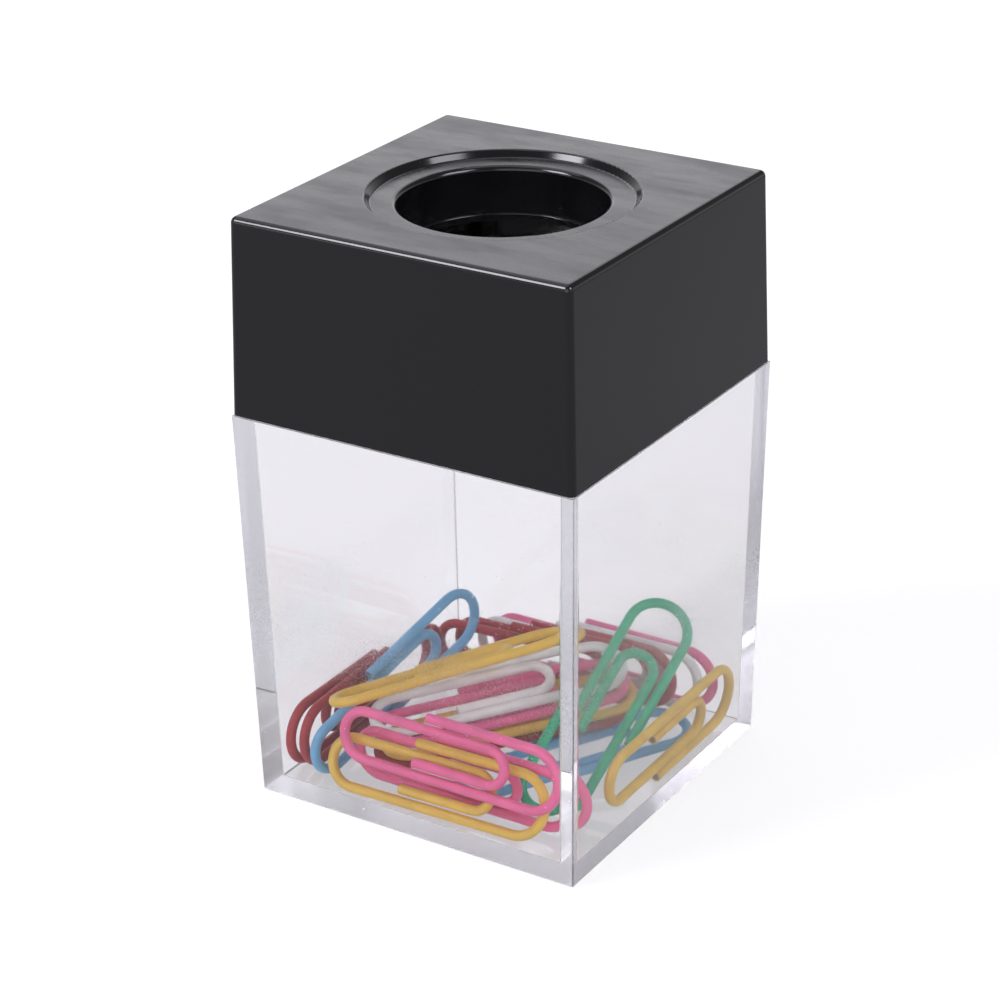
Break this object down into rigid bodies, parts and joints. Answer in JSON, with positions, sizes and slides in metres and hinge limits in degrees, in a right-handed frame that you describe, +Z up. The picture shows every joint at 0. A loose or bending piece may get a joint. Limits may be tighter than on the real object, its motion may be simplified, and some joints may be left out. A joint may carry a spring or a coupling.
{
  "type": "magnetic paper clip holder",
  "caption": "Clear square box of coloured paper clips under a black lift-off cap, whose top has a round dish and a well with a hidden ring magnet that holds clips round its rim.",
  "frame": {"origin": "centre of the underside of the clear box", "axes": "+Z up, along the way the cap lifts off; -Y is the front face; +X is to the right of it"},
  "size_m": [0.0422, 0.0422, 0.0679],
  "materials": {
    "clear_plastic": "clear polished",
    "black_plastic": "semi-gloss",
    "ferrite": "ground, dull",
    "red_vinyl": "satin vinyl coat on steel wire",
    "yellow_vinyl": "satin vinyl coat on steel wire",
    "pink_vinyl": "satin vinyl coat on steel wire",
    "blue_vinyl": "satin vinyl coat on steel wire",
    "green_vinyl": "satin vinyl coat on steel wire",
    "white_vinyl": "satin vinyl coat on steel wire"
  },
  "bodies": {
    "box": {"clear_box": "clear_plastic", "clip_red_1": "red_vinyl", "clip_red_2": "red_vinyl", "clip_yellow_1": "yellow_vinyl", "clip_blue_2": "blue_vinyl", "clip_yellow_2": "yellow_vinyl", "clip_pink_1": "pink_vinyl", "clip_pink_2": "pink_vinyl", "clip_blue_1": "blue_vinyl", "clip_pink_4": "pink_vinyl", "clip_white_1": "white_vinyl", "clip_red_4": "red_vinyl", "clip_red_3": "red_vinyl", "clip_red_5": "red_vinyl", "clip_yellow_4": "yellow_vinyl", "clip_pink_3": "pink_vinyl", "clip_white_2": "white_vinyl", "clip_green_1": "green_vinyl", "clip_yellow_3": "yellow_vinyl"},
    "cap": {"cap_shell": "black_plastic", "ring_magnet": "ferrite", "magnet_tray": "black_plastic"}
  },
  "joints": [
    {"name": "cap_lift", "type": "slide", "parent": "box", "child": "cap", "axis": [0, 0, 1], "range_m": [0, 0.03]}
  ]
}
